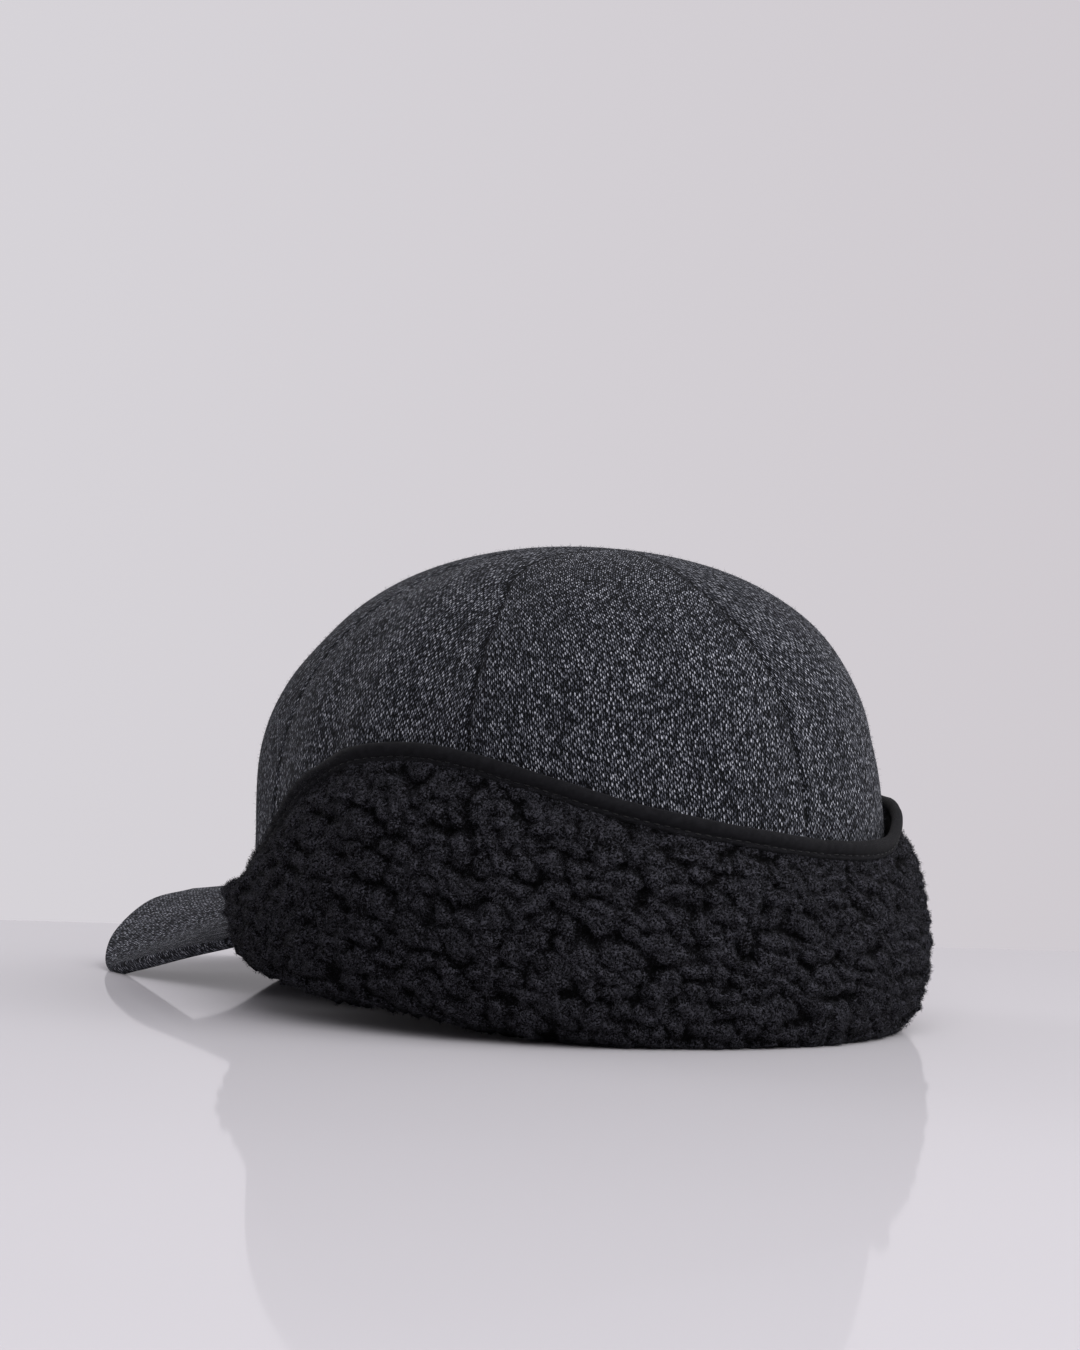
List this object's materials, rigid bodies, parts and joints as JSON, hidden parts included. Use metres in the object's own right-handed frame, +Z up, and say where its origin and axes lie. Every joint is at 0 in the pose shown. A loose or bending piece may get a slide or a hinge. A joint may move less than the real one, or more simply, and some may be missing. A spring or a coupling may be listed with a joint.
{
  "type": "hunting cap",
  "caption": "Soft wool hunting cap: a low sewn crown of gores, a short arched visor and a turned-up ear and neck flap of curly pile with a bound edge.",
  "frame": {"origin": "under the middle of the cap's bounding box, on the surface that it rests on", "axes": "+Z up; -Y towards the visor, the way the wearer faces; +X towards the wearer's left"},
  "size_m": [0.21, 0.308, 0.1442],
  "materials": {
    "wool": "charcoal heather wool cloth, matt, light grey flecks on a near-black ground",
    "pile": "near-black curly pile, matt and deep",
    "binding": "smooth black woven binding, slight sheen"
  },
  "bodies": {
    "root": {"crown_panel_front_left": "wool", "crown_panel_side_left": "wool", "crown_panel_rear_left": "wool", "crown_panel_rear_right": "wool", "crown_panel_side_right": "wool", "crown_panel_front_right": "wool", "visor": "wool", "ear_flap_fleece": "pile", "flap_binding": "binding"}
  },
  "joints": []
}
